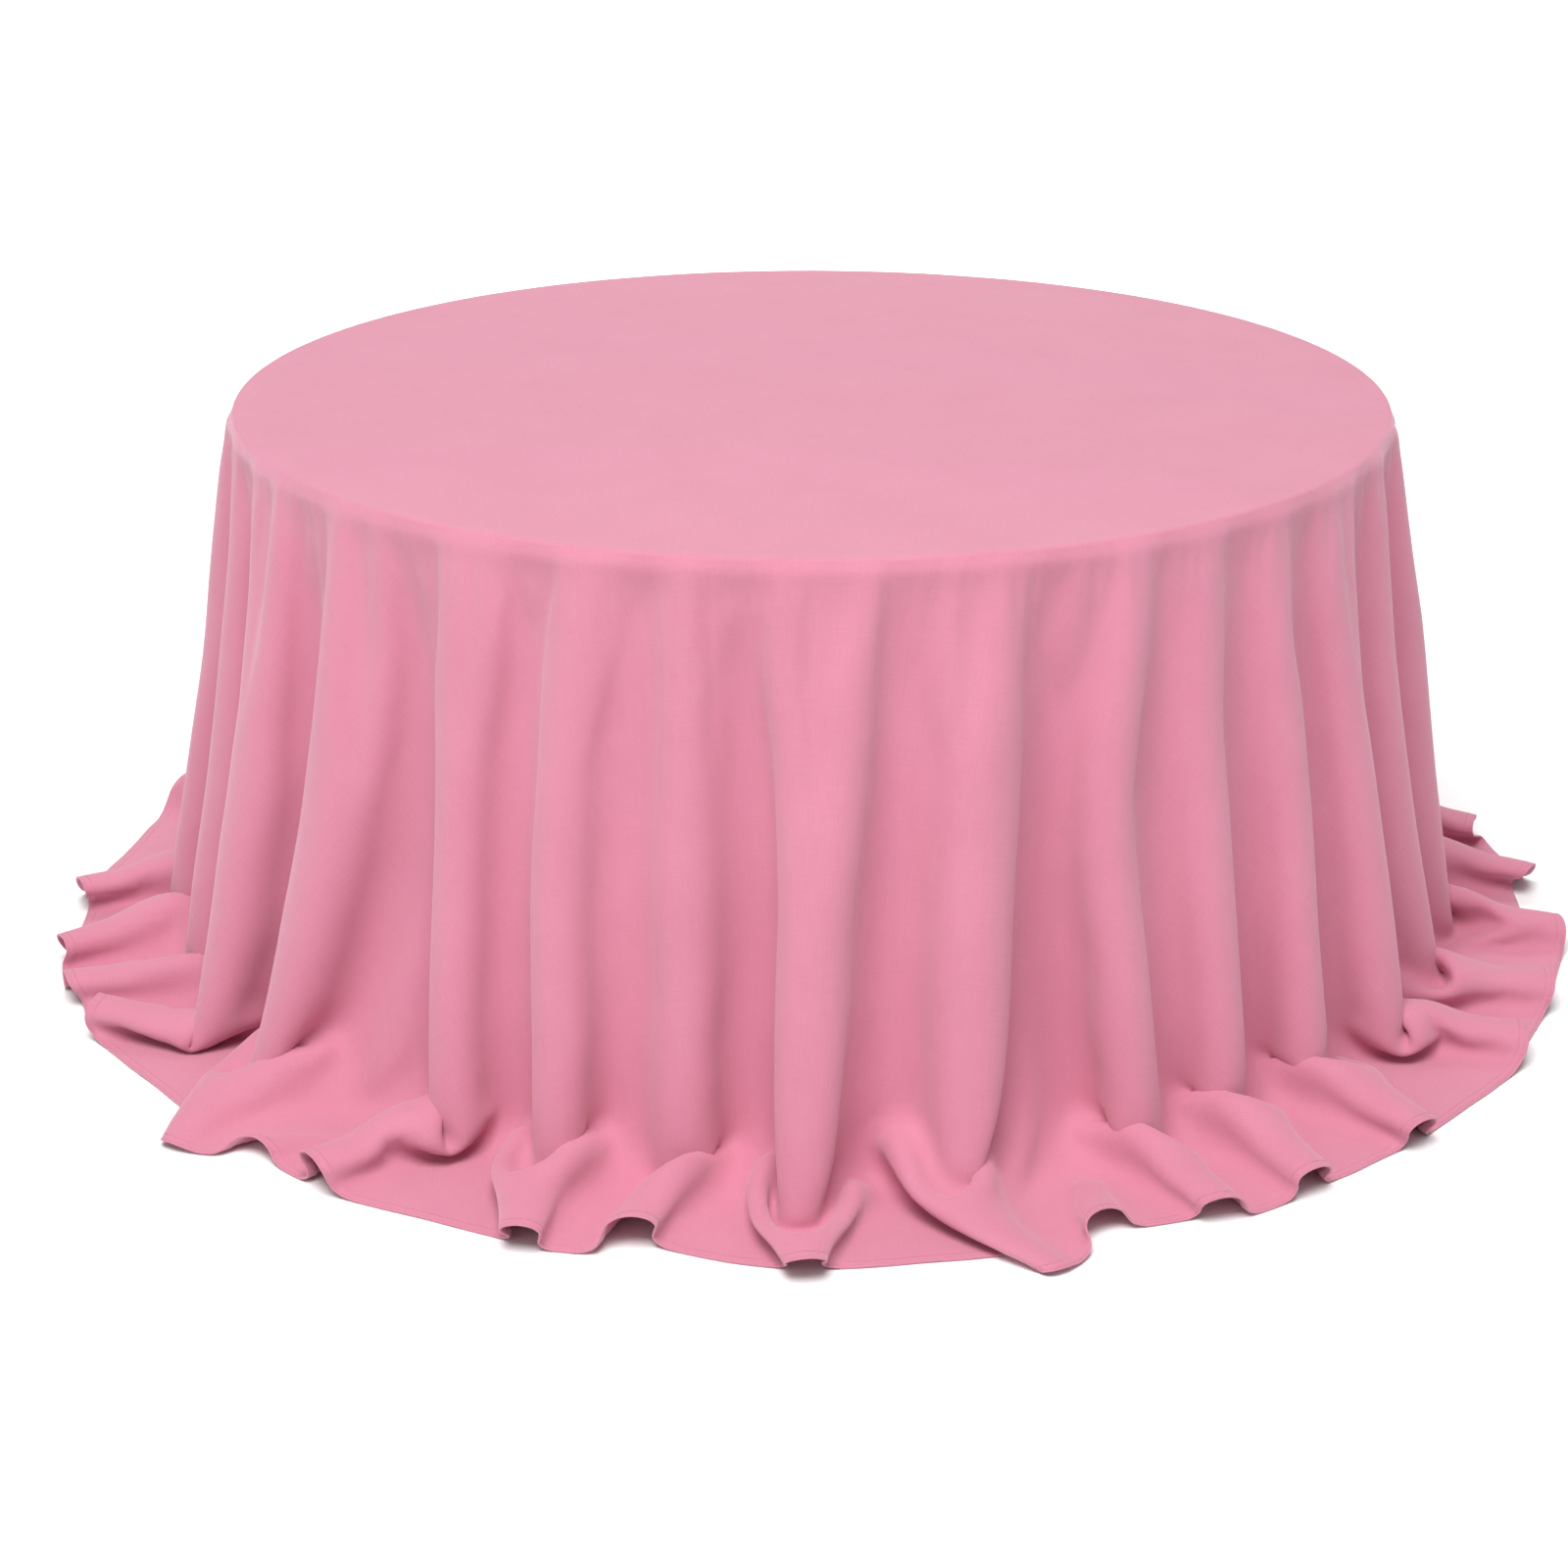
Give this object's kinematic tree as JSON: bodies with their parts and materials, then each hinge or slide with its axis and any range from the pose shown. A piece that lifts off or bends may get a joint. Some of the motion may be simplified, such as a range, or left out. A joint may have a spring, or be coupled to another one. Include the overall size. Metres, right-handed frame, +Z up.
{
  "type": "tablecloth on a table",
  "caption": "Round floor-length pink tablecloth that hangs in folds and pools on the floor, over a round banquet table with folding leg sets.",
  "frame": {"origin": "on the floor, on the axis of the round table top", "axes": "+Z up; the two folding leg sets stand at -X and +X; -Y is the front"},
  "size_m": [2.101, 2.101, 0.738],
  "materials": {
    "pink_cloth": "matte woven polyester with a soft sheen",
    "sewing_thread": "twisted polyester thread",
    "plywood": "sanded birch plywood",
    "hardwood": "planed hardwood",
    "laminate": "smooth laminate, satin",
    "edge_band": "extruded vinyl, satin",
    "leg_paint": "hammered powder coat",
    "zinc_plate": "zinc plated, satin",
    "fasteners": "zinc plated",
    "glide_plastic": "moulded, matte"
  },
  "bodies": {
    "table": {"table_top": "plywood", "top_laminate": "laminate", "edge_band": "edge_band", "left_cross_rail": "hardwood", "right_cross_rail": "hardwood", "front_long_rail": "hardwood", "back_long_rail": "hardwood", "brace_board": "plywood", "left_front_bracket": "zinc_plate", "left_back_bracket": "zinc_plate", "right_front_bracket": "zinc_plate", "right_back_bracket": "zinc_plate", "left_brace_anchor": "zinc_plate", "right_brace_anchor": "zinc_plate", "left_anchor_pin": "fasteners", "right_anchor_pin": "fasteners", "rail_screws": "fasteners", "bracket_screws": "fasteners"},
    "left_leg_set": {"left_pivot_tube": "leg_paint", "left_front_leg": "leg_paint", "left_back_leg": "leg_paint", "left_stretcher": "leg_paint", "left_brace_ear": "leg_paint", "left_ear_rivet": "fasteners", "left_front_glide": "glide_plastic", "left_back_glide": "glide_plastic"},
    "left_upper_brace": {"left_upper_brace": "leg_paint", "left_middle_rivet": "fasteners", "left_ring_detent": "fasteners"},
    "left_lower_brace": {"left_lower_brace": "leg_paint"},
    "left_lock_ring": {"left_lock_ring": "zinc_plate"},
    "right_leg_set": {"right_pivot_tube": "leg_paint", "right_front_leg": "leg_paint", "right_back_leg": "leg_paint", "right_stretcher": "leg_paint", "right_brace_ear": "leg_paint", "right_ear_rivet": "fasteners", "right_front_glide": "glide_plastic", "right_back_glide": "glide_plastic"},
    "right_upper_brace": {"right_upper_brace": "leg_paint", "right_middle_rivet": "fasteners", "right_ring_detent": "fasteners"},
    "right_lower_brace": {"right_lower_brace": "leg_paint"},
    "right_lock_ring": {"right_lock_ring": "zinc_plate"},
    "tablecloth": {"tablecloth": "pink_cloth", "hem": "pink_cloth", "hem_stitching": "sewing_thread"}
  },
  "joints": [
    {"name": "left_legs_fold", "type": "hinge", "parent": "table", "child": "left_leg_set", "pos_m": [-0.45, 0, 0.668], "axis": [0, -1, 0], "range_deg": [0, 92.5]},
    {"name": "left_upper_brace_turn", "type": "hinge", "parent": "table", "child": "left_upper_brace", "pos_m": [-0.15, 0, 0.69], "axis": [0, -1, 0], "range_deg": [-36, 0]},
    {"name": "left_lower_brace_turn", "type": "hinge", "parent": "left_leg_set", "child": "left_lower_brace", "pos_m": [-0.43587, 0, 0.48721], "axis": [0, -1, 0], "range_deg": [0, 53]},
    {"name": "left_ring_slide", "type": "slide", "parent": "left_upper_brace", "child": "left_lock_ring", "axis": [0.8156, 0, 0.5786], "range_m": [0, 0.035]},
    {"name": "right_legs_fold", "type": "hinge", "parent": "table", "child": "right_leg_set", "pos_m": [0.45, 0, 0.668], "axis": [0, 1, 0], "range_deg": [0, 92.5]},
    {"name": "right_upper_brace_turn", "type": "hinge", "parent": "table", "child": "right_upper_brace", "pos_m": [0.15, 0, 0.69], "axis": [0, 1, 0], "range_deg": [-36, 0]},
    {"name": "right_lower_brace_turn", "type": "hinge", "parent": "right_leg_set", "child": "right_lower_brace", "pos_m": [0.43587, 0, 0.48721], "axis": [0, 1, 0], "range_deg": [0, 53]},
    {"name": "right_ring_slide", "type": "slide", "parent": "right_upper_brace", "child": "right_lock_ring", "axis": [-0.8156, 0, 0.5786], "range_m": [0, 0.035]},
    {"name": "cloth_lift", "type": "slide", "parent": "table", "child": "tablecloth", "axis": [0, 0, 1], "range_m": [0, 0.8]}
  ],
  "couplings": [
    {"joint": "left_upper_brace_turn", "follows": "left_legs_fold", "ratio": -0.38217},
    {"joint": "left_lower_brace_turn", "follows": "left_legs_fold", "ratio": 0.56378},
    {"joint": "right_upper_brace_turn", "follows": "right_legs_fold", "ratio": -0.38217},
    {"joint": "right_lower_brace_turn", "follows": "right_legs_fold", "ratio": 0.56378}
  ]
}
